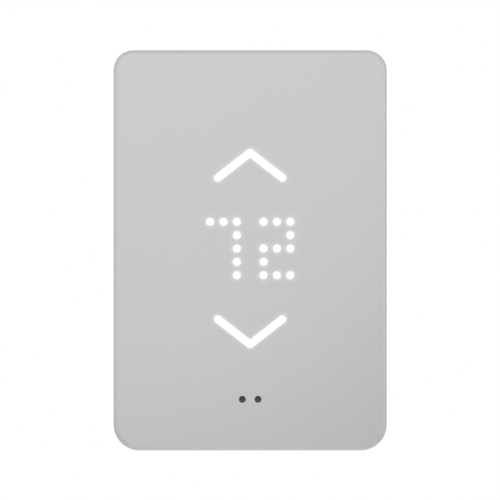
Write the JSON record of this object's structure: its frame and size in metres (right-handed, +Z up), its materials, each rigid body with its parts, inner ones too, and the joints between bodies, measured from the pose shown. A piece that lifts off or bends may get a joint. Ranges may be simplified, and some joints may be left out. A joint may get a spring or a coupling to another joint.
{
  "type": "wall thermostat",
  "caption": "Upright wall thermostat with a plain face, lit dot digits between two arrow strokes, and a mains housing that sits in the wiring box.",
  "frame": {"origin": "on the wall plane, midway between the two wiring box screws and at the middle of the cover", "axes": "+X to the right as seen from the room, +Z up the wall, +Y into the wall; the face looks along -Y"},
  "size_m": [0.089, 0.042, 0.1304],
  "materials": {
    "cover_plastic": "fine matte",
    "smoked_lens": "gloss",
    "clear_lens": "clear",
    "white_film": "matte",
    "copper_film": "satin",
    "gold_plate": "polished",
    "black_plastic": "matte",
    "board_laminate": "satin",
    "led_body": "satin",
    "boot_rubber": "matte",
    "chip_epoxy": "satin",
    "radio_laminate": "satin",
    "tinned_steel": "satin",
    "sensor_body": "matte",
    "screw_steel": "bright zinc",
    "plate_plastic": "fine matte",
    "insert_brass": "turned",
    "housing_plastic": "matte",
    "lid_plastic": "matte",
    "terminal_plastic": "satin",
    "bare_copper": "drawn",
    "relay_plastic": "satin",
    "bobbin_nylon": "satin",
    "enamel_wire": "enamelled",
    "soft_iron": "nickel plated",
    "contact_alloy": "satin",
    "ferrite": "sintered",
    "winding_tape": "gloss tape",
    "capacitor_sleeve": "shrink sleeve",
    "film_capacitor_case": "gloss",
    "varistor_epoxy": "dipped",
    "fuse_metal": "tinned",
    "spring_steel": "phosphated"
  },
  "bodies": {
    "wall_unit": {"wall_plate": "plate_plastic", "clamp_insert": "insert_brass", "rear_housing": "housing_plastic", "inner_cover": "lid_plastic", "inner_cover_screws": "screw_steel", "power_board": "board_laminate", "pin_header_base": "black_plastic", "pin_header_pins": "gold_plate", "power_chips": "chip_epoxy", "terminal_blocks": "terminal_plastic", "terminal_screws": "screw_steel", "terminal_bars": "bare_copper", "relay_base": "relay_plastic", "relay_case": "relay_plastic", "relay_bobbin": "bobbin_nylon", "relay_coil": "enamel_wire", "relay_yoke": "soft_iron", "relay_fixed_contact": "contact_alloy", "transformer_core": "ferrite", "transformer_winding": "winding_tape", "storage_capacitors": "capacitor_sleeve", "film_capacitor": "film_capacitor_case", "varistor": "varistor_epoxy", "thermal_fuse": "fuse_metal"},
    "front_module": {"front_cover": "cover_plastic", "sensor_windows": "smoked_lens", "dot_lenses": "clear_lens", "arrow_lens_up": "clear_lens", "arrow_lens_down": "clear_lens", "diffuser_film": "white_film", "touch_pad_up": "copper_film", "touch_pad_down": "copper_film", "touch_contacts": "gold_plate", "light_mask": "black_plastic", "display_board": "board_laminate", "digit_leds": "led_body", "arrow_leds": "led_body", "sensor_boot": "boot_rubber", "proximity_sensors": "chip_epoxy", "radio_board": "radio_laminate", "radio_shield": "tinned_steel", "display_chips": "chip_epoxy", "socket": "black_plastic", "climate_board": "board_laminate", "climate_sensor": "sensor_body", "board_screws": "screw_steel"},
    "relay_arm": {"relay_armature": "soft_iron", "relay_blade": "contact_alloy"},
    "clip": {"screw_clip": "spring_steel"},
    "screw": {"clamp_screw": "screw_steel"}
  },
  "joints": [
    {"name": "front_tilt", "type": "hinge", "parent": "wall_unit", "child": "front_module", "pos_m": [0, -0.008, 0.0592], "axis": [-1, 0, 0], "range_deg": [0, 20]},
    {"name": "clip_travel", "type": "slide", "parent": "wall_unit", "child": "clip", "axis": [0, 0, -1], "range_m": [0, 0.0015]},
    {"name": "clamp_screw_turn", "type": "hinge", "parent": "clip", "child": "screw", "pos_m": [0, -0.006, -0.058], "axis": [0, 0, -1], "range_deg": [0, 1080]},
    {"name": "relay_pull", "type": "hinge", "parent": "wall_unit", "child": "relay_arm", "pos_m": [0.0113, 0.0147, 0.00765], "axis": [0, 0, 1], "range_deg": [0, 3], "stiffness_Nm_per_rad": 0.002, "springref_deg": -11.46}
  ],
  "couplings": [
    {"joint": "clamp_screw_turn", "follows": "clip_travel", "rad_per_m": 12566}
  ]
}
